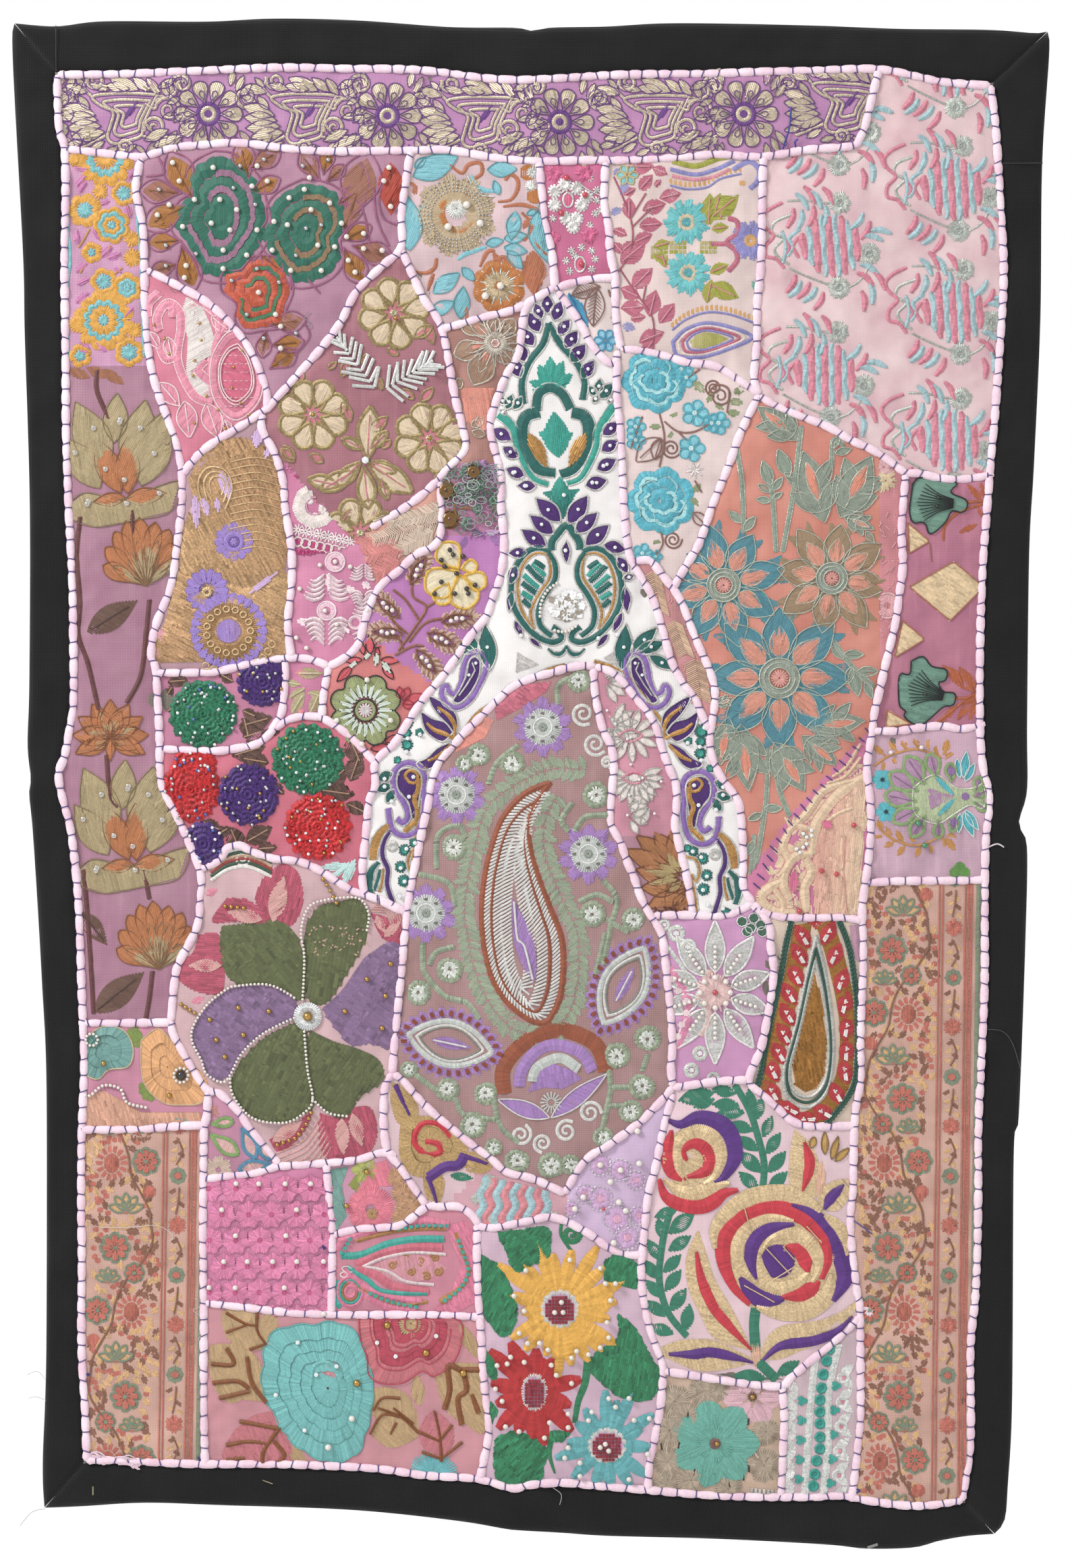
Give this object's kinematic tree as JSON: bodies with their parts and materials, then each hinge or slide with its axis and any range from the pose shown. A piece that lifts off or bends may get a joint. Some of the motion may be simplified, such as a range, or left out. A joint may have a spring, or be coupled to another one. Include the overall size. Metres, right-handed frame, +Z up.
{
  "type": "patchwork wall hanging",
  "caption": "Upright patchwork wall hanging of embroidered cloth patches with padded cords couched along the seams and a mitred black cotton border.",
  "frame": {"origin": "middle of the hanging's top edge, where a wall fixing holds it", "axes": "+Z up along the hanging's height, +X to the right of someone facing it, and the embroidered front looks along -Y"},
  "size_m": [0.6134, 0.0148, 0.9058],
  "materials": {
    "patchwork": "pieced and embroidered cloth patches in pinks, salmon, cream, teal and lilac, soft, with bead and metal-thread detail",
    "black_cotton": "matte black plain-weave cotton",
    "cord": "pale pink padded cloth cord pinched by violet-blue stitches"
  },
  "bodies": {
    "root": {"border_bottom": "black_cotton", "border_left": "black_cotton", "border_right": "black_cotton", "border_top": "black_cotton", "cord_arch_inner": "cord", "cord_arch_left": "cord", "cord_arch_right": "cord", "cord_arch_tip": "cord", "cord_blue_bottom": "cord", "cord_blue_left": "cord", "cord_blue_trim_left": "cord", "cord_bud_left": "cord", "cord_edge_bottom": "cord", "cord_edge_left": "cord", "cord_edge_right": "cord", "cord_edge_top": "cord", "cord_flower_arc": "cord", "cord_flower_left": "cord", "cord_flower_top": "cord", "cord_leaf_bottom": "cord", "cord_leaf_top": "cord", "cord_left_long": "cord", "cord_lotus_end": "cord", "cord_oval_foot_left": "cord", "cord_oval_foot_right": "cord", "cord_oval_left": "cord", "cord_oval_right": "cord", "cord_pink_bottom": "cord", "cord_pot_bottom": "cord", "cord_pot_left": "cord", "cord_red_left": "cord", "cord_red_top": "cord", "cord_rose_bottom": "cord", "cord_rose_left": "cord", "cord_rose_right": "cord", "cord_salmon_left": "cord", "cord_scallop_low": "cord", "cord_scallop_top": "cord", "cord_silver_bottom": "cord", "cord_silver_left": "cord", "cord_silver_right": "cord", "cord_square_right": "cord", "cord_star_bottom": "cord", "cord_star_top": "cord", "cord_strip_right": "cord", "cord_sun_left": "cord", "cord_sun_top": "cord", "cord_tan_bottom": "cord", "cord_tan_right": "cord", "cord_top_strip": "cord", "cord_tulip_bottom": "cord", "cord_tulip_left": "cord", "cord_vine_left": "cord", "cord_vine_left_top": "cord", "cord_vine_right_top": "cord", "cord_violet_edge": "cord", "cord_yarn_middle": "cord", "cord_yarn_right": "cord", "cord_yarn_upper": "cord", "patchwork_panel": "patchwork"}
  },
  "joints": []
}
